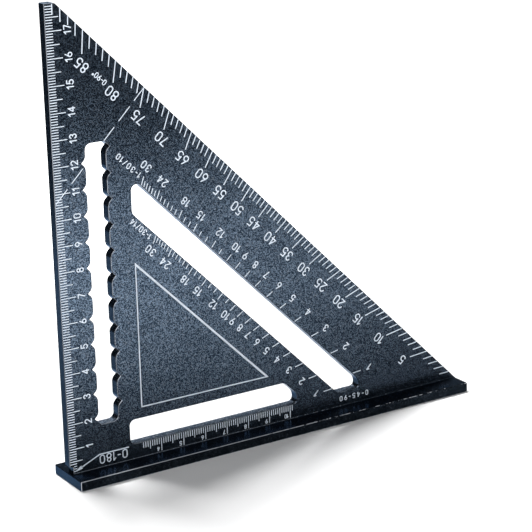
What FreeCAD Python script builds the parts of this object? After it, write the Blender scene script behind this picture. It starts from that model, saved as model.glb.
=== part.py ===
import FreeCAD, Part
import math
import os
from FreeCAD import Rotation, Vector

# Rafter square (speed square): a triangular blade standing on a flat fence, its scales marked in white.
#
# Millimetres.  Pieces are drawn with x along the fence from the pivot corner, z up the ruled edge from the
# top of the fence, and y = 0 on the blade's marked face with +y behind it.  Each piece is then moved so that
# the part's origin is the middle of the fence's underside.

# ---------------------------------------------------------------- driving dimensions
square_leg = 184.2          # pivot corner to the far end of the fence, and up to where the slope would end
tip_cut = 4.2               # how far below that sharp tip the blade is cut off flat
tip_corner_radius = 1.6
blade_thickness = 4.4
fence_width = 22.2
fence_thickness = 4.1
fence_edge_radius = 0.4
root_fillet = 0.4           # concave fillet between the blade and the fence, both sides
seat_depth = 1.0            # the blade's foot is let this far into the fence
edge_break = 0.2            # chamfer round the blade's outline and slots
pivot_notch_radius = 1.5    # relief in the ruled edge at the pivot corner

# slots: "reach" is x + z, which is constant along any line parallel to the sloping edge
slot_floor = 6.1            # height of the lower side of the two lower slots
slot_radius = 2.3
rafter_slot_reach_in = 40.4       # from the sloping edge down to the rafter slot's upper side, as reach
rafter_slot_width = 10.1          # square across the slot
rafter_slot_left = 31.7
rafter_slot_end_height = 9.8      # height at which its upper side turns down into the end wall
rule_slot_left = 26.5
rule_slot_top = 16.0
rule_slot_end_height = 10.1
rule_slot_web = 11.2              # metal between the rule slot and the rafter slot, square across

# scribing slot, with a pencil notch at each centimetre on the left and each half between on the right
scribe_slot_left = 13.4
scribe_slot_right = 21.8
scribe_slot_bottom = 17.4
scribe_slot_top_above_notch = 2.2
scribe_slot_tip_room = 58.2       # kept free between the last notch and the sharp tip
scribe_slot_corner_radius = 2.4
notch_pitch = 10.0
first_left_notch = 20.0
notch_depth = 1.7
notch_shoulder_radius = 3.0

# markings: white film on the blade's face
film = 0.06
tick_width = 0.32
degree_tick_width = 0.38
outline_width = 0.45
edge_margin = 0.25          # markings stop this far inside the blade's edges
edge_tick_reach = (3.0, 5.4, 6.4)         # x where the 1, 5 and 10 mm ticks end
edge_number_height = 2.65
edge_number_stroke = 0.42
edge_number_gap = 0.38
edge_number_x = 8.7
edge_number_room = 1.5                    # kept between the last number and the sloping edge, as reach
degree_tick_depth = (5.2, 9.7)            # short and long, as reach in from the sloping edge
degree_number_reach_in = 14.2
degree_number_height = 3.55
degree_number_stroke = 0.46
degree_number_gap = 0.32
degree_label_at = 82.2                    # its middle lies on this ray, in degrees
degree_label_reach_in = 12.7
degree_label_height = 1.9
degree_label_stroke = 0.34
degree_label_gap = 0.30
rafter_tick_depth = (3.3, 4.8)            # unlabelled and labelled, as reach away from the slot
common_number_reach_out = 9.6             # from the slot's upper side to the middle of the numbers, as reach
hip_number_reach_in = 8.6                 # from the slot's lower side to the middle of the numbers, as reach
rafter_number_height = 2.75
rafter_number_stroke = 0.42
rafter_number_gap = 0.40
rafter_label_height = 2.1
rafter_label_stroke = 0.36
common_label_x = 31.0
common_label_reach_out = 3.6
common_label_gap = 0.55
hip_label_x = 35.0
hip_label_reach_in = 3.2
hip_label_gap = 0.39
highest_pitch = 30
rafter_numbers = (1, 2, 3, 4, 5, 6, 7, 8, 9, 10, 12, 15, 18, 24, 30)
common_run = 10.0
hip_run = 10.0 * math.sqrt(2.0)
slot_rule_ticks_down_to = (3.5, 2.5, 0.6)  # z where the 1, 5 and 10 mm ticks of the rule slot end
slot_rule_number_height = 1.55
slot_rule_number_stroke = 0.32
slot_rule_number_gap = 0.24
slot_rule_number_z = 1.55
slot_rule_number_before_tick = 1.0        # space between a number and the tick that it belongs to
slot_rule_start = 5.5                     # from the slot's left side to its first tick
panel_left = 32.0
panel_bottom = 20.6
panel_reach_in = 19.6                     # from the rafter slot's lower side to the panel's sloping line
pivot_pointer_tip = (1.9, 0.75)
pivot_pointer_bend = (12.8, 5.4)
pivot_pointer_end = 25.4                  # x where its line stops, short of the rule slot
pivot_pointer_head = (3.4, 0.75)          # length and half width of the arrowhead
pivot_label_at = (18.8, 3.2)
pivot_label_height = 3.25
pivot_label_stroke = 0.42
pivot_label_gap = 0.34
top_cut_label_in = 2.4                    # from the rafter slot's end wall back to the label's middle
top_cut_label_z = 3.15
top_cut_label_height = 1.9
top_cut_label_stroke = 0.34
top_cut_label_gap = 0.66
reference_line_start = 106.1              # height at which the dashed line leaves the ruled edge
reference_line_inset = 0.4
reference_line_width = 0.34
dash_pitch = 6.82
dash_length = 4.9

# turns of the lines of text, anticlockwise as seen from the marked face
up_the_edge = 90.0
along_the_slope = 135.0
upside_down = 180.0

# ---------------------------------------------------------------- derived values
root_two = math.sqrt(2.0)
tip_height = square_leg - tip_cut
fence_front = (blade_thickness - fence_width) / 2.0
rafter_slot_high_reach = square_leg - rafter_slot_reach_in
rafter_slot_low_reach = rafter_slot_high_reach - rafter_slot_width * root_two
rafter_slot_right = rafter_slot_high_reach - rafter_slot_end_height
rule_slot_reach = rafter_slot_low_reach - rule_slot_web * root_two
rule_slot_right = rule_slot_reach - rule_slot_end_height
right_notch_shift = notch_pitch / 2.0
right_notch_room = square_leg - scribe_slot_tip_room - right_notch_shift
last_right_notch = right_notch_shift + notch_pitch * math.floor(right_notch_room / notch_pitch)
scribe_slot_top = last_right_notch + scribe_slot_top_above_notch
to_origin = Vector(-square_leg / 2.0, -blade_thickness / 2.0, fence_thickness)


# ---------------------------------------------------------------- outlines and plates
def at(x, z, y=0.0):
    return Vector(x, y, z)


def rounded_wire(corners):
    """Closed wire through (x, z, radius) corners; a radius is limited by the sides next to it."""
    edges = []
    count = len(corners)
    points = [at(x, z) for x, z, radius in corners]
    starts = []
    for i in range(count):
        here = points[i]
        back = points[i - 1] - here
        ahead = points[(i + 1) % count] - here
        radius = corners[i][2]
        if radius <= 0.0:
            starts.append((here, None, here))
            continue
        half = back.getAngle(ahead) / 2.0
        run = min(radius / math.tan(half), 0.49 * back.Length, 0.49 * ahead.Length)
        radius = run * math.tan(half)
        enter = here + back.normalize() * run
        leave = here + ahead.normalize() * run
        bisector = (back + ahead).normalize()
        middle = here + bisector * (radius / math.sin(half) - radius)
        starts.append((enter, middle, leave))
    for i in range(count):
        enter, middle, leave = starts[i]
        if middle is not None:
            edges.append(Part.Arc(enter, middle, leave).toShape())
        following = starts[(i + 1) % count][0]
        edges.append(Part.LineSegment(leave, following).toShape())
    return Part.Wire(edges)


def plate(corners, front=0.0, back=blade_thickness):
    """Solid of an outline, between two depths."""
    face = Part.Face(rounded_wire(corners))
    face.translate(at(0.0, 0.0, front))
    return face.extrude(at(0.0, 0.0, back - front))


def through(corners):
    """Cutter for a slot, standing proud of both faces."""
    return plate(corners, -1.0, blade_thickness + 1.0)


# ---------------------------------------------------------------- blade and fence
def blade_outline():
    notch = pivot_notch_radius
    return [
        (notch, 0.0, 0.0),
        (square_leg, 0.0, 0.0),
        (tip_cut, tip_height, tip_corner_radius),
        (0.0, tip_height, tip_corner_radius / 4.0),
        (0.0, 2.0 * notch, 0.0),
        (notch, 2.0 * notch, notch),
    ]


def scribe_slot():
    left = scribe_slot_left
    right = scribe_slot_right
    depth = notch_depth
    shoulder = notch_shoulder_radius
    corners = [(left + first_left_notch - depth - scribe_slot_bottom, scribe_slot_bottom, slot_radius / 4.0)]
    corners.append((right, scribe_slot_bottom, scribe_slot_corner_radius))
    z = first_left_notch + right_notch_shift
    while z < last_right_notch + 0.5 * notch_pitch:
        corners.append((right, z - depth, shoulder))
        corners.append((right + depth, z, 0.0))
        if z + depth < scribe_slot_top - depth:
            corners.append((right, z + depth, shoulder))
        z += notch_pitch
    corners.append((right + depth - scribe_slot_top_above_notch, scribe_slot_top, slot_radius / 4.0))
    corners.append((left, scribe_slot_top, scribe_slot_corner_radius))
    z = last_right_notch - right_notch_shift
    while z > first_left_notch - 0.5 * notch_pitch:
        corners.append((left, z + depth, shoulder))
        corners.append((left - depth, z, 0.0))
        if z > first_left_notch + 0.5 * notch_pitch:
            corners.append((left, z - depth, shoulder))
        z -= notch_pitch
    return corners


def rule_slot():
    return [
        (rule_slot_left, slot_floor, slot_radius),
        (rule_slot_right, slot_floor, slot_radius),
        (rule_slot_right, rule_slot_end_height, 1.7 * slot_radius),
        (rule_slot_reach - rule_slot_top, rule_slot_top, 1.7 * slot_radius),
        (rule_slot_left, rule_slot_top, slot_radius),
    ]


def rafter_slot():
    high = rafter_slot_high_reach
    low = rafter_slot_low_reach
    return [
        (low - slot_floor, slot_floor, slot_radius),
        (rafter_slot_right, slot_floor, slot_radius),
        (rafter_slot_right, rafter_slot_end_height, 1.5 * slot_radius),
        (rafter_slot_left, high - rafter_slot_left, slot_radius),
        (rafter_slot_left, low - rafter_slot_left, 1.5 * slot_radius),
    ]


def foot():
    """The blade's foot, which fills its seat in the fence and is as wide as the blade with its fillets."""
    width = blade_thickness + 2.0 * root_fillet
    corner = at(pivot_notch_radius, -seat_depth, -root_fillet)
    return Part.makeBox(square_leg - pivot_notch_radius, width, seat_depth, corner)


def root_fillets():
    """The two concave fillets that join the blade's faces to the fence."""
    size = root_fillet
    start = pivot_notch_radius
    run = at(square_leg - start, 0.0)
    solids = []
    for face_y, side in ((0.0, -1.0), (blade_thickness, 1.0)):
        corner = at(start, 0.0, face_y)
        top = at(start, size, face_y)
        foot = at(start, 0.0, face_y + side * size)
        centre = at(start, size, face_y + side * size)
        middle = centre + (corner - centre).normalize() * size
        edges = [
            Part.LineSegment(corner, top).toShape(),
            Part.Arc(top, middle, foot).toShape(),
            Part.LineSegment(foot, corner).toShape(),
        ]
        solids.append(Part.Face(Part.Wire(edges)).extrude(run))
    return solids


def outline_edges(solid):
    """Edges lying in the front or back face, apart from those along the fence."""
    chosen = []
    for edge in solid.Edges:
        box = edge.BoundBox
        in_face = box.YLength < 1e-6
        on_fence = box.ZMax < 1e-6
        if in_face and not on_fence:
            chosen.append(edge)
    return chosen


def make_blade():
    body = plate(blade_outline())
    for slot in (scribe_slot(), rule_slot(), rafter_slot()):
        body = body.cut(through(slot))
    body = body.makeChamfer(edge_break, outline_edges(body))
    under_slope = plate([(0.0, 0.0, 0.0), (square_leg, 0.0, 0.0), (0.0, square_leg, 0.0)],
                        -2.0 * root_fillet, blade_thickness + 2.0 * root_fillet)
    for fillet in root_fillets():
        body = body.fuse(fillet.common(under_slope))
    return body.fuse(foot()).removeSplitter()


def make_fence():
    box = Part.makeBox(square_leg, fence_width, fence_thickness, at(0.0, -fence_thickness, fence_front))
    return box.makeFillet(fence_edge_radius, box.Edges).cut(foot())


# ---------------------------------------------------------------- strokes, figures and text
def film_solid(face):
    return face.extrude(at(0.0, 0.0, -film))


def clear_of(solids, others):
    """The solids without what the others cover, less any scrap smaller than a tick is wide."""
    kept = []
    for solid in solids:
        crossing = [other for other in others if solid.BoundBox.intersect(other.BoundBox)]
        pieces = solid.cut(crossing).Solids if crossing else [solid]
        for piece in pieces:
            if piece.BoundBox.DiagonalLength > 2.0 * tick_width:
                kept.append(piece)
    return kept


def bar(x0, z0, x1, z1, width):
    """Square-ended stroke between two points."""
    start = at(x0, z0)
    end = at(x1, z1)
    along = (end - start).normalize()
    side = at(-along.z, along.x) * (width / 2.0)
    points = [start - side, end - side, end + side, start + side, start - side]
    return film_solid(Part.Face(Part.makePolygon(points)))


def round_bar(x0, z0, x1, z1, width):
    """Stroke between two points with round ends."""
    start = at(x0, z0)
    end = at(x1, z1)
    along = (end - start).normalize() * (width / 2.0)
    side = at(-along.z, along.x)
    edges = [
        Part.LineSegment(start - side, end - side).toShape(),
        Part.Arc(end - side, end + along, end + side).toShape(),
        Part.LineSegment(end + side, start + side).toShape(),
        Part.Arc(start + side, start - along, start - side).toShape(),
    ]
    return film_solid(Part.Face(Part.Wire(edges)))


def round_arc(x, z, radius, first, last, width):
    """Arc stroke with round ends, anticlockwise from one angle to the other, in degrees."""
    def polar(r, degrees):
        turn = math.radians(degrees)
        return at(x + r * math.cos(turn), z + r * math.sin(turn))

    def cap(degrees, side):
        turn = math.radians(degrees)
        tangent = at(-math.sin(turn), math.cos(turn)) * (side * half)
        return polar(radius, degrees) + tangent

    half = width / 2.0
    inner = radius - half
    outer = radius + half
    middle = (first + last) / 2.0
    edges = [
        Part.Arc(polar(outer, first), polar(outer, middle), polar(outer, last)).toShape(),
        Part.Arc(polar(outer, last), cap(last, 1.0), polar(inner, last)).toShape(),
        Part.Arc(polar(inner, last), polar(inner, middle), polar(inner, first)).toShape(),
        Part.Arc(polar(inner, first), cap(first, -1.0), polar(outer, first)).toShape(),
    ]
    return film_solid(Part.Face(Part.Wire(edges)))


def ring(x, z, radius, width):
    """Full circle stroke."""
    def disc(r):
        return film_solid(Part.Face(Part.Wire(Part.makeCircle(r, at(x, z), Vector(0.0, 1.0, 0.0)))))
    return disc(radius + width / 2.0).cut(disc(radius - width / 2.0))


# Each figure is one unit tall: its width, its straight strokes as point lists, its arcs as
# (x, z, radius, first, last) and its full circles as (x, z, radius).
figures = {
    "0": (0.56, [[(0.0, 0.28), (0.0, 0.72)], [(0.56, 0.28), (0.56, 0.72)]],
          [(0.28, 0.72, 0.28, 0, 180), (0.28, 0.28, 0.28, 180, 360)], []),
    "1": (0.26, [[(0.0, 0.74), (0.26, 1.0), (0.26, 0.0)]], [], []),
    "2": (0.56, [[(0.5, 0.55), (0.0, 0.0), (0.56, 0.0)]], [(0.28, 0.73, 0.28, -40, 172)], []),
    "3": (0.54, [], [(0.26, 0.76, 0.24, -78, 165), (0.26, 0.28, 0.28, -165, 78)], []),
    "4": (0.60, [[(0.44, 0.0), (0.44, 1.0), (0.0, 0.27), (0.6, 0.27)]], [], []),
    "5": (0.55, [[(0.5, 1.0), (0.1, 1.0), (0.05, 0.5)]], [(0.26, 0.3, 0.3, -155, 135)], []),
    "6": (0.56, [[(0.03, 0.4), (0.36, 1.0)]], [], [(0.28, 0.28, 0.28)]),
    "7": (0.52, [[(0.0, 1.0), (0.52, 1.0), (0.16, 0.0)]], [], []),
    "8": (0.56, [], [], [(0.28, 0.76, 0.235), (0.28, 0.27, 0.275)]),
    "9": (0.56, [[(0.53, 0.6), (0.2, 0.0)]], [], [(0.28, 0.72, 0.28)]),
    "-": (0.30, [[(0.0, 0.45), (0.3, 0.45)]], [], []),
    "/": (0.36, [[(0.0, 0.0), (0.36, 1.0)]], [], []),
    "°": (0.26, [], [], [(0.13, 0.86, 0.14)]),
}
made_figures = {}


def figure(name, height, stroke):
    """One character as a single solid, its lower left corner at the origin."""
    key = (name, height, stroke)
    if key not in made_figures:
        width, lines, arcs, circles = figures[name]
        pieces = []
        for points in lines:
            for (x0, z0), (x1, z1) in zip(points, points[1:]):
                pieces.append(round_bar(x0 * height, z0 * height, x1 * height, z1 * height, stroke))
        for x, z, radius, first, last in arcs:
            pieces.append(round_arc(x * height, z * height, radius * height, first, last, stroke))
        for x, z, radius in circles:
            pieces.append(ring(x * height, z * height, radius * height, stroke))
        solid = pieces[0]
        if len(pieces) > 1:
            solid = solid.multiFuse(pieces[1:]).removeSplitter()
        made_figures[key] = solid.Solids[0]
    return made_figures[key]


def line_length(words, gap):
    """Length of a line of characters; it and the gap between them are shares of their height."""
    return sum(figures[name][0] for name in words) + gap * (len(words) - 1)


def text(words, x, z, turn, height, stroke, gap):
    """Characters centred on (x, z), their line turned anticlockwise as seen from the marked face."""
    spin = Rotation(Vector(0.0, -1.0, 0.0), turn)
    pen = -line_length(words, gap) / 2.0
    solids = []
    for name in words:
        solid = figure(name, height, stroke).copy()
        place = at(x, z) + spin.multVec(at(pen * height, -height / 2.0))
        solid.Placement = FreeCAD.Placement(place, spin).multiply(solid.Placement)
        solids.append(solid)
        pen += figures[name][0] + gap
    return solids


# ---------------------------------------------------------------- scales
def along_ray(tangent, reach):
    """Point where the ray from the pivot with this slope has x + z equal to reach."""
    x = reach / (1.0 + tangent)
    return x, reach - x


def ray_tick(tangent, reach_from, reach_to, width):
    x0, z0 = along_ray(tangent, reach_from)
    x1, z1 = along_ray(tangent, reach_to)
    return bar(x0, z0, x1, z1, width)


def edge_number_top(centimetre):
    """Height at which a number on the ruled edge ends."""
    return 10.0 * centimetre + edge_number_height * line_length(str(centimetre), edge_number_gap) / 2.0


def edge_number_fits(centimetre):
    """Whether a number on the ruled edge stays clear of the sloping edge."""
    reach = edge_number_x + edge_number_height / 2.0 + edge_number_top(centimetre)
    return reach + edge_number_room < square_leg


def edge_rule_ticks(crossing):
    """Millimetre ticks, without what the crossing marks cover."""
    solids = []
    for z in range(1, math.ceil(tip_height)):
        kind = 2 if z % 10 == 0 else 1 if z % 5 == 0 else 0
        start = edge_margin
        if abs(z - pivot_notch_radius) < pivot_notch_radius + tick_width / 2.0 + edge_break:
            start += pivot_notch_radius
        end = min(edge_tick_reach[kind], square_leg - z - 2.0 * edge_margin)
        if end > start + tick_width:
            solids.append(bar(start, z, end, z, tick_width))
    return clear_of(solids, crossing)


def edge_rule_numbers():
    solids = []
    centimetre = 1
    while edge_number_fits(centimetre):
        z = 10.0 * centimetre
        solids += text(str(centimetre), edge_number_x, z, up_the_edge, edge_number_height,
                       edge_number_stroke, edge_number_gap)
        centimetre += 1
    return solids


def degree_ticks(crossing):
    """A tick for each degree, without what the crossing marks cover."""
    solids = []
    outer = square_leg - edge_margin
    last_number = max(n for n in range(1, int(square_leg)) if edge_number_fits(n))
    number_top = edge_number_top(last_number)
    for degree in range(1, 90):
        tangent = math.tan(math.radians(degree))
        depth = degree_tick_depth[1] if degree % 5 == 0 else degree_tick_depth[0]
        inner = square_leg - depth
        near_number = abs(along_ray(tangent, inner)[0] - edge_number_x) < edge_number_height / 2.0
        if near_number:
            inner = max(inner, number_top * (1.0 + 1.0 / tangent))
        reach_out = outer
        if along_ray(tangent, outer)[1] > tip_height - edge_margin:
            reach_out = (tip_height - edge_margin) * (1.0 + 1.0 / tangent)
        solids.append(ray_tick(tangent, inner, reach_out, degree_tick_width))
    return clear_of(solids, crossing)


def degree_numbers():
    solids = []
    for degree in range(5, 90, 5):
        x, z = along_ray(math.tan(math.radians(degree)), square_leg - degree_number_reach_in)
        solids += text(str(degree), x, z, along_the_slope, degree_number_height,
                       degree_number_stroke, degree_number_gap)
    return solids


def degree_label():
    x, z = along_ray(math.tan(math.radians(degree_label_at)), square_leg - degree_label_reach_in)
    return text("0-90°", x, z, along_the_slope, degree_label_height, degree_label_stroke, degree_label_gap)


def rafter_ticks(run, edge_reach, away):
    """Ticks of a pitch scale along one side of the rafter slot; away is +1 above it and -1 below."""
    solids = []
    start = edge_reach + away * 2.0 * edge_margin
    for pitch in range(1, highest_pitch + 1):
        depth = rafter_tick_depth[1] if pitch in rafter_numbers else rafter_tick_depth[0]
        solids.append(ray_tick(pitch / run, start, edge_reach + away * depth, tick_width))
    return solids


def rafter_figures(run, reach):
    solids = []
    for pitch in rafter_numbers:
        x, z = along_ray(pitch / run, reach)
        solids += text(str(pitch), x, z, along_the_slope, rafter_number_height,
                       rafter_number_stroke, rafter_number_gap)
    return solids


def rafter_label(words, x, reach, gap):
    return text(words, x, reach - x, along_the_slope, rafter_label_height, rafter_label_stroke, gap)


def slot_rule_range():
    first = math.ceil(rule_slot_left + slot_rule_start)
    last = math.floor(rule_slot_right - slot_radius)
    return first, last


def slot_rule_ticks():
    solids = []
    first, last = slot_rule_range()
    for x in range(first, last + 1):
        kind = 2 if x % 10 == 0 else 1 if x % 5 == 0 else 0
        solids.append(bar(x, slot_floor - edge_margin, x, slot_rule_ticks_down_to[kind], tick_width))
    return solids


def slot_rule_numbers():
    solids = []
    first, last = slot_rule_range()
    for centimetre in range(math.ceil(first / 10.0), last // 10 + 1):
        words = str(centimetre)
        width = line_length(words, slot_rule_number_gap) * slot_rule_number_height
        x = 10.0 * centimetre - slot_rule_number_before_tick - width / 2.0
        solids += text(words, x, slot_rule_number_z, upside_down, slot_rule_number_height,
                       slot_rule_number_stroke, slot_rule_number_gap)
    return solids


def pivot_pointer():
    """Arrow to the pivot corner, with its leader bent into a line over the label."""
    head_length, head_half_width = pivot_pointer_head
    tip = at(*pivot_pointer_tip)
    bend = at(*pivot_pointer_bend)
    line_end = at(pivot_pointer_end, bend.z)
    along = (bend - tip).normalize()
    side = at(-along.z, along.x) * head_half_width
    head = tip + along * head_length
    arrow = Part.makePolygon([tip, head + side, head - side, tip])
    shapes = [
        film_solid(Part.Face(arrow)),
        round_bar(head.x, head.z, bend.x, bend.z, outline_width),
        round_bar(bend.x, bend.z, line_end.x, line_end.z, outline_width),
    ]
    return shapes[0].multiFuse(shapes[1:]).removeSplitter().Solids


def pivot_label():
    x, z = pivot_label_at
    return text("0-180", x, z, upside_down, pivot_label_height, pivot_label_stroke, pivot_label_gap)


def top_cut_label():
    x = rafter_slot_right - top_cut_label_in
    return text("0-45-90", x, top_cut_label_z, upside_down, top_cut_label_height,
                top_cut_label_stroke, top_cut_label_gap)


def panel_outline():
    """Thin outline of the bare triangular panel below the rafter slot."""
    reach = rafter_slot_low_reach - panel_reach_in
    inset = outline_width / 2.0

    def triangle(grow):
        slant = reach + grow * (1.0 + root_two)
        left = panel_left - grow
        bottom = panel_bottom - grow
        corners = [(left, bottom, 0.0), (slant - bottom, bottom, 0.0), (left, slant - left, 0.0)]
        return plate(corners, -film, 0.0)

    return triangle(inset).cut(triangle(-inset)).Solids


def reference_line():
    """Dashed line square to the sloping edge, left off where it meets a slot."""
    solids = []
    slots = Part.makeCompound([through(scribe_slot()), through(rafter_slot())])
    sideways = at(edge_margin, 0.0)
    upwards = at(0.0, edge_margin)
    keep_off = [slots.translated(step) for step in (sideways, -sideways, upwards, -upwards)]
    x = reference_line_inset
    while 2.0 * x + reference_line_start < square_leg:
        end = min(x + dash_length, (square_leg - reference_line_start) / 2.0 - edge_margin)
        dash = bar(x, x + reference_line_start, end, end + reference_line_start, reference_line_width)
        meets = [slot for slot in keep_off if dash.BoundBox.intersect(slot.BoundBox)]
        clear = dash.cut(meets) if meets else dash
        for solid in clear.Solids:
            if solid.BoundBox.XLength > 2.0 * reference_line_width:
                solids.append(solid)
        x += dash_pitch
    return solids


# ---------------------------------------------------------------- build
def save(name, solids):
    group = Part.makeCompound(solids) if len(solids) > 1 else solids[0].copy()
    group.translate(to_origin)
    bad = [solid for solid in group.Solids if not solid.isValid()]
    print(name, len(group.Solids), "solids", "volume %.3f" % group.Volume, "invalid %d" % len(bad))
    group.exportStep("parts/" + name + ".step")


os.makedirs("parts", exist_ok=True)
high = rafter_slot_high_reach
low = rafter_slot_low_reach
save("blade", make_blade().Solids)
save("fence", make_fence().Solids)
dashes = reference_line()
arrow = pivot_pointer()
degrees = degree_ticks(dashes)
save("edge_rule_ticks", edge_rule_ticks(dashes + arrow + degrees[-2:]))
save("edge_rule_numbers", edge_rule_numbers())
save("degree_ticks", degrees)
save("degree_numbers", degree_numbers())
save("degree_label", degree_label())
save("common_rafter_ticks", rafter_ticks(common_run, high, 1.0))
save("common_rafter_numbers", rafter_figures(common_run, high + common_number_reach_out))
save("common_rafter_label",
     rafter_label("1-30/10", common_label_x, high + common_label_reach_out, common_label_gap))
save("hip_valley_ticks", rafter_ticks(hip_run, low, -1.0))
save("hip_valley_numbers", rafter_figures(hip_run, low - hip_number_reach_in))
save("hip_valley_label",
     rafter_label("1-30/14", hip_label_x, low - hip_label_reach_in, hip_label_gap))
save("slot_rule_ticks", slot_rule_ticks())
save("slot_rule_numbers", slot_rule_numbers())
save("pivot_pointer", arrow)
save("pivot_label", pivot_label())
save("top_cut_label", top_cut_label())
save("panel_outline", panel_outline())
save("reference_line", dashes)
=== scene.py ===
import math

import bmesh
import bpy
from mathutils import Matrix, Vector


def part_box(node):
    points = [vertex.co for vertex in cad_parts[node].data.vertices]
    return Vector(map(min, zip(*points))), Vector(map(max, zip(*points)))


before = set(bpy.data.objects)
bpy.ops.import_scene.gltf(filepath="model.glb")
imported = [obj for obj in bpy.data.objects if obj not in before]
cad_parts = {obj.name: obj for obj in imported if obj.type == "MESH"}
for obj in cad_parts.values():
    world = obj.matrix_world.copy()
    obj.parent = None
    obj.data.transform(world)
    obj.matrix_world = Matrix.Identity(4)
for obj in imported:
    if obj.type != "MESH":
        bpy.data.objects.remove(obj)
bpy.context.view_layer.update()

# Everything is in metres.  The pivot corner, where the ruled edge meets the fence, is the place that the
# camera is set out from.
MM = 0.001
blade_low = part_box("blade")[0]
fence_low, fence_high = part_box("fence")
pivot = Vector((fence_low.x, blade_low.y, fence_high.z))
leg = fence_high.x - fence_low.x
middle = Vector((0.0, 0.0, fence_high.z + 0.4 * leg))


def from_pivot(x, y, z):
    """A point so many millimetres from the pivot corner."""
    return pivot + Vector((x, y, z)) * MM


# ---------------------------------------------------------------- shader maths
class Value:
    """A number that varies over a surface; arithmetic on it adds Math nodes."""

    def __init__(self, paint, socket):
        self.paint = paint
        self.socket = socket

    def maths(self, operation, *terms):
        made = self.paint.node("ShaderNodeMath", {"operation": operation}, dict(enumerate(terms)))
        return Value(self.paint, made.outputs[0])

    def __add__(self, other):
        return self.maths("ADD", self, other)

    def __radd__(self, other):
        return self.maths("ADD", other, self)

    def __sub__(self, other):
        return self.maths("SUBTRACT", self, other)

    def __rsub__(self, other):
        return self.maths("SUBTRACT", other, self)

    def __mul__(self, other):
        return self.maths("MULTIPLY", self, other)

    def __rmul__(self, other):
        return self.maths("MULTIPLY", other, self)

    def __abs__(self):
        return self.maths("ABSOLUTE", self)

    def between(self, low, high):
        """0 at low, 1 at high, and smooth in between; low may be the larger number."""
        settings = {"interpolation_type": "SMOOTHSTEP"}
        sockets = {"Value": self, "From Min": low, "From Max": high}
        return Value(self.paint, self.paint.node("ShaderNodeMapRange", settings, sockets).outputs[0])


class Paint:
    """One procedural material on Object coordinates."""

    def __init__(self, name):
        self.material = bpy.data.materials.new(name)
        self.material.use_nodes = True
        self.tree = self.material.node_tree
        self.shader = self.tree.nodes["Principled BSDF"]
        coordinates = self.node("ShaderNodeTexCoord")
        self.place = coordinates.outputs["Object"]
        self.facing = coordinates.outputs["Normal"]

    def node(self, kind, settings=None, sockets=None):
        """Adds a node, sets it up, and feeds its sockets from values, colours, links or Values."""
        made = self.tree.nodes.new(kind)
        for key, setting in (settings or {}).items():
            setattr(made, key, setting)
        for key, feed in (sockets or {}).items():
            self.feed(made.inputs[key], feed)
        return made

    def feed(self, socket, feed):
        if isinstance(feed, Value):
            feed = feed.socket
        if isinstance(feed, bpy.types.NodeSocket):
            self.tree.links.new(feed, socket)
        else:
            socket.default_value = feed

    def axis(self, vector, name):
        split = self.node("ShaderNodeSeparateXYZ", sockets={"Vector": vector})
        return Value(self, split.outputs[name])

    def noise(self, size_mm, detail=2.0, roughness=0.5):
        """Cloudy value from 0 to 1, with features of about this size."""
        scale = 1.0 / (size_mm * MM)
        sockets = {"Vector": self.place, "Scale": scale, "Detail": detail, "Roughness": roughness}
        return Value(self, self.node("ShaderNodeTexNoise", sockets=sockets).outputs[0])

    def flakes(self, size_mm):
        """A random value from 0 to 1 for each small cell, as in flecks of pigment."""
        sockets = {"Vector": self.place, "Scale": 1.0 / (size_mm * MM)}
        cells = self.node("ShaderNodeTexVoronoi", sockets=sockets)
        return self.axis(cells.outputs["Color"], "X")

    def mix(self, share, first, second):
        """A colour between two colours."""
        settings = {"data_type": "RGBA"}
        colour_factor, colour_a, colour_b, colour_result = 0, 6, 7, 2
        made = self.node("ShaderNodeMix", settings, {colour_factor: share, colour_a: first, colour_b: second})
        return made.outputs[colour_result]

    def finish(self, colour, roughness, metallic, height, relief_mm, **fixed):
        """Feeds the shader; relief_mm is how far the surface rises where height is 1."""
        self.feed(self.shader.inputs["Base Color"], colour)
        self.feed(self.shader.inputs["Roughness"], roughness)
        self.feed(self.shader.inputs["Metallic"], metallic)
        sockets = {"Height": height, "Distance": relief_mm * MM, "Strength": 1.0}
        bump = self.node("ShaderNodeBump", sockets=sockets)
        self.feed(self.shader.inputs["Normal"], bump.outputs[0])
        for name, setting in fixed.items():
            self.shader.inputs[name.replace("_", " ")].default_value = setting
        return self.material


# ---------------------------------------------------------------- finishes
def colour(red, green, blue):
    return (red, green, blue, 1.0)


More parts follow.
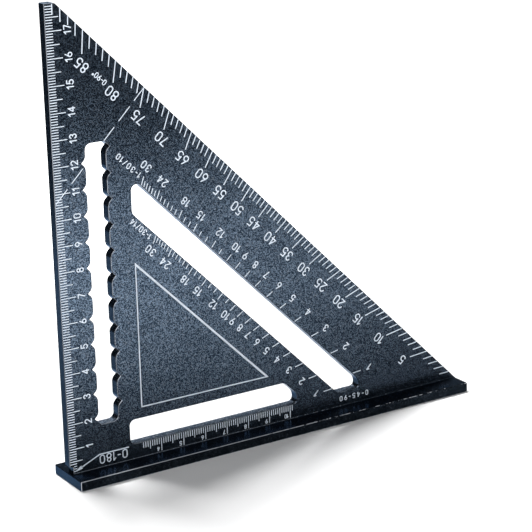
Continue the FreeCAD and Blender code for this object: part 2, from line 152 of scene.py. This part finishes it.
def anthracite_coat(name, depth, base_roughness, edge_shine):
    """Blue-black metallic coat with fine flecks; depth scales its tone, and the last argument sets how bright
    the painted edge highlights are.

    Painted shade darkens the surfaces that face sideways, painted glints fleck the upward-facing slot sills
    lighter, and painted highlights brighten the small chamfers and fillets in places, more so towards the
    ruled edge.
    """
    paint = Paint(name)
    grain = paint.noise(0.34, detail=1.0)
    fleck = paint.flakes(0.42)
    cloud = paint.noise(34.0, detail=2.0)
    sideways = abs(paint.axis(paint.facing, "X"))
    forwards = abs(paint.axis(paint.facing, "Y"))
    upwards = paint.axis(paint.facing, "Z")
    above_root = paint.axis(paint.place, "Z") - fence_high.z
    along = paint.axis(paint.place, "X")

    dark = colour(0.014 * depth, 0.024 * depth, 0.040 * depth)
    light = colour(0.158 * depth, 0.216 * depth, 0.294 * depth)
    bright_fleck = colour(0.30, 0.35, 0.42)
    dark_fleck = colour(0.010, 0.015, 0.024)
    coat = paint.mix(grain.between(0.455, 0.59), dark, light)
    coat = paint.mix(fleck.between(0.88, 0.99) * 0.5, coat, bright_fleck)
    coat = paint.mix(fleck.between(0.16, 0.02) * 0.6, coat, dark_fleck)
    coat = paint.mix(cloud.between(0.3, 0.75) * 0.15, coat, dark)

    # Painted shade: surfaces that face sideways (cut walls, end and side faces) are darkened almost to black.
    shaded = colour(0.008, 0.012, 0.019)
    side_shade = sideways.between(0.35, 0.75)
    coat = paint.mix(side_shade * 0.78, coat, shaded)

    # Painted glints: upward-facing slot sills above the fence get light flecks, as if light glinted on them.
    sill_glint = colour(0.50, 0.54, 0.60)
    slot_sill = upwards.between(0.6, 0.9) * above_root.between(1.5 * MM, 3.0 * MM)
    coat = paint.mix(slot_sill * fleck.between(0.60, 0.97) * 0.45, coat, sill_glint)

    # Painted highlight: chamfers and fillets leaning forward are lightened in broken streaks, brighter on the
    # left, standing in for light caught along the edges; there they are also rougher and less metallic.
    edge_highlight_colour = colour(0.62, 0.65, 0.70)
    on_edge = forwards.between(0.97, 0.88) * forwards.between(0.25, 0.45)
    left_half = along.between(0.06, -0.06)
    highlight_breakup = paint.noise(2.4, detail=3.0, roughness=0.7) + left_half * 0.30
    edge_highlight = on_edge * highlight_breakup.between(0.50, 0.64) * edge_shine
    coat = paint.mix(edge_highlight, coat, edge_highlight_colour)

    roughness = base_roughness + grain * 0.12 + edge_highlight * 0.20 + slot_sill * 0.25
    metallic = 0.88 - edge_highlight * 0.5
    texture = grain + fleck * 0.5
    glancing_tint = colour(0.42, 0.52, 0.68)
    return paint.finish(coat, roughness, metallic, texture, relief_mm=0.012, Specular_Tint=glancing_tint)


def white_ink(name, strength, age):
    """White print: slightly uneven ink that lets the coat through in specks, more of them with age."""
    paint = Paint(name)
    cloud = paint.noise(5.0, detail=3.0)
    grain = paint.noise(0.30, detail=2.0, roughness=0.6)
    pale = colour(0.76 * strength, 0.84 * strength, 0.94 * strength)
    dull = colour(0.52 * strength, 0.60 * strength, 0.70 * strength)
    coat_below = colour(0.10, 0.12, 0.15)
    ink = paint.mix(cloud.between(0.35, 0.75) * 0.5, pale, dull)
    speck = grain.between(0.62, 0.80) * age
    ink = paint.mix(speck, ink, coat_below)
    roughness = 0.52 + cloud * 0.2
    return paint.finish(ink, roughness, metallic=0.0, height=grain, relief_mm=0.006)


def pale_floor():
    """White table top whose material glows: a painted glow, nil near the tool and full further away, so that
    it stays white into the distance.
    """
    paint = Paint("pale_floor")
    cloud = paint.noise(220.0, detail=2.0)
    tone = paint.mix(cloud, colour(0.86, 0.86, 0.86), colour(0.90, 0.90, 0.90))
    distance = paint.node("ShaderNodeVectorMath", {"operation": "LENGTH"}, {0: paint.place})
    glow_starts = 0.12
    glow_is_full = 0.34
    away = Value(paint, distance.outputs["Value"]).between(glow_starts, glow_is_full)
    # Painted light: the floor emits a glow of its own that grows with distance from the tool.
    glow = paint.mix(away, colour(0.0, 0.0, 0.0), colour(1.0, 1.0, 1.0))
    paint.feed(paint.shader.inputs["Emission Color"], glow)
    roughness = 0.75 + cloud * 0.1
    return paint.finish(tone, roughness, metallic=0.0, height=cloud, relief_mm=0.02,
                        Specular_IOR_Level=0.1, Emission_Strength=1.0)


def wear(node, material):
    """Gives a CAD node its finish."""
    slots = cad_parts[node].data.materials
    if len(slots) == 0:
        slots.append(material)
    for index in range(len(slots)):
        slots[index] = material


blade_coat = anthracite_coat("blade_coat", depth=1.01, base_roughness=0.13, edge_shine=0.34)
# The fence wears a darker copy of the blade's coat (depth 0.42): painted shade for the darkness it shows at
# the foot of the tool.
fence_coat = anthracite_coat("fence_coat", depth=0.42, base_roughness=0.17, edge_shine=0.90)
scale_ink = white_ink("scale_ink", strength=1.0, age=0.55)
figure_ink = white_ink("figure_ink", strength=1.0, age=0.40)
line_ink = white_ink("line_ink", strength=1.0, age=0.25)
outline_ink = white_ink("outline_ink", strength=0.86, age=0.35)

wear("blade", blade_coat)
wear("fence", fence_coat)
for node in ("edge_rule_ticks", "degree_ticks", "common_rafter_ticks", "hip_valley_ticks", "slot_rule_ticks"):
    wear(node, scale_ink)
for node in ("edge_rule_numbers", "degree_numbers", "degree_label", "common_rafter_numbers",
             "common_rafter_label", "hip_valley_numbers", "hip_valley_label", "slot_rule_numbers",
             "pivot_label", "top_cut_label"):
    wear(node, figure_ink)
for node in ("pivot_pointer", "reference_line"):
    wear(node, line_ink)
wear("panel_outline", outline_ink)


# ---------------------------------------------------------------- flat sheets
lying = Matrix.Identity(4)
facing_front = Matrix.Rotation(math.radians(90.0), 4, "X")
facing_side = Matrix.Rotation(math.radians(90.0), 4, "Y")


def sheet(name, material, centre, turn, width, height):
    """A flat rectangle of the staging; turn takes it from lying flat to the way it stands."""
    mesh = bpy.data.meshes.new(name)
    grid = bmesh.new()
    place = Matrix.Translation(centre) @ turn @ Matrix.Diagonal((width, height, 1.0, 1.0))
    bmesh.ops.create_grid(grid, x_segments=1, y_segments=1, size=0.5, matrix=place)
    grid.to_mesh(mesh)
    grid.free()
    mesh.materials.append(material)
    card = bpy.data.objects.new(name, mesh)
    bpy.context.scene.collection.objects.link(card)
    return card


def lay_floor():
    across = 60.0
    sheet("floor", pale_floor(), Vector((0.0, 0.0, fence_low.z)), lying, across, across)


# ---------------------------------------------------------------- camera and light
def aimed(back, lean=0.0):
    """Rotation that looks against the direction back, leaning by so many degrees about the line of sight."""
    turn = (-back).to_track_quat("-Z", "Y").to_matrix()
    return (turn @ Matrix.Rotation(math.radians(-lean), 3, "Z")).to_quaternion()


def set_camera():
    eye = from_pivot(-297.4, -618.0, 286.3)
    target = from_pivot(89.9, 0.0, 66.9)
    data = bpy.data.cameras.new("camera")
    data.sensor_width = 36.0
    data.lens = 130.74
    data.clip_start = 0.01
    data.clip_end = 20.0
    camera = bpy.data.objects.new("camera", data)
    camera.rotation_mode = "QUATERNION"
    camera.location = eye
    camera.rotation_quaternion = aimed(eye - target, lean=1.43)
    bpy.context.scene.collection.objects.link(camera)
    bpy.context.scene.camera = camera


def softbox(name, place, width, power):
    """A square light of so many watts, aimed at the middle of the tool."""
    data = bpy.data.lights.new(name, "AREA")
    data.shape = "RECTANGLE"
    data.size = width
    data.size_y = width
    data.energy = power
    light = bpy.data.objects.new(name, data)
    light.rotation_mode = "QUATERNION"
    light.location = place
    light.rotation_quaternion = aimed(place - middle)
    bpy.context.scene.collection.objects.link(light)


def reflection_card(name, material, centre, turn, width, height):
    """A card that shows only in the tool's reflections."""
    card = sheet(name, material, centre, turn, width, height)
    card.visible_camera = False
    card.visible_diffuse = False
    card.visible_shadow = False
    card.visible_transmission = False


def black_felt(paint, cover):
    """Dark felt; cover is the share of the light that it stops."""
    cloud = paint.noise(60.0)
    tone = paint.mix(cloud, colour(0.010, 0.012, 0.014), colour(0.016, 0.018, 0.020))
    paint.feed(paint.shader.inputs["Alpha"], cover)
    return paint.finish(tone, roughness=0.9, metallic=0.0, height=cloud, relief_mm=0.01)


def fading_felt():
    """Felt whose cover thins out away from the foot of the tool and towards its ruled edge; seen only in
    reflections, it paints the shade by the foot into them.
    """
    paint = Paint("fading_felt")
    by_the_foot = paint.axis(paint.place, "Y").between(-0.20, fence_low.y) * 0.85
    to_the_right = paint.axis(paint.place, "X").between(0.03, 0.20) * 0.55
    return black_felt(paint, 1.0 - (1.0 - by_the_foot) * (1.0 - to_the_right))


def place_cards():
    """Cards seen only in the tool's reflections paint dark reflections: standing ones keep the tip and the
    ruled edge dark; lying ones darken what the foot and the left side reflect.
    """
    solid_felt = black_felt(Paint("black_felt"), 1.0)
    thin_felt = black_felt(Paint("thin_felt"), 0.55)
    foot = fence_low.z
    high = 0.34
    half_way_up = foot + high / 2.0

    front_y = -0.44
    front_x = 0.2
    in_front = Vector((front_x, front_y, half_way_up))
    reflection_card("front_card", solid_felt, in_front, facing_front, width=1.6, height=high)
    at_the_side = Vector((-0.25, 0.46, half_way_up))
    reflection_card("side_card", solid_felt, at_the_side, facing_side, width=high, height=0.88)

    lift = 0.5 * MM
    deep = fence_low.y - front_y
    before_the_foot = Vector((front_x, front_y + deep / 2.0, foot + lift))
    reflection_card("lying_card", fading_felt(), before_the_foot, lying, width=1.0, height=deep)
    on_the_left = Vector((-0.30, 0.30, foot + lift))
    reflection_card("left_card", thin_felt, on_the_left, lying, width=0.40, height=0.60)


def light_stage():
    """A dim even surround, a lamp above and behind the tool, and a soft one at the front left."""
    world = bpy.data.worlds.new("studio")
    world.use_nodes = True
    background = world.node_tree.nodes["Background"]
    background.inputs["Color"].default_value = (1.0, 1.0, 1.0, 1.0)
    background.inputs["Strength"].default_value = 0.12
    bpy.context.scene.world = world
    softbox("top_softbox", Vector((-0.08, 0.255, 0.83)), width=0.26, power=11.5)
    softbox("front_fill", Vector((-0.55, -0.75, 0.55)), width=0.70, power=5.0)
    bpy.context.scene.view_settings.view_transform = "Standard"


lay_floor()
place_cards()
set_camera()
light_stage()
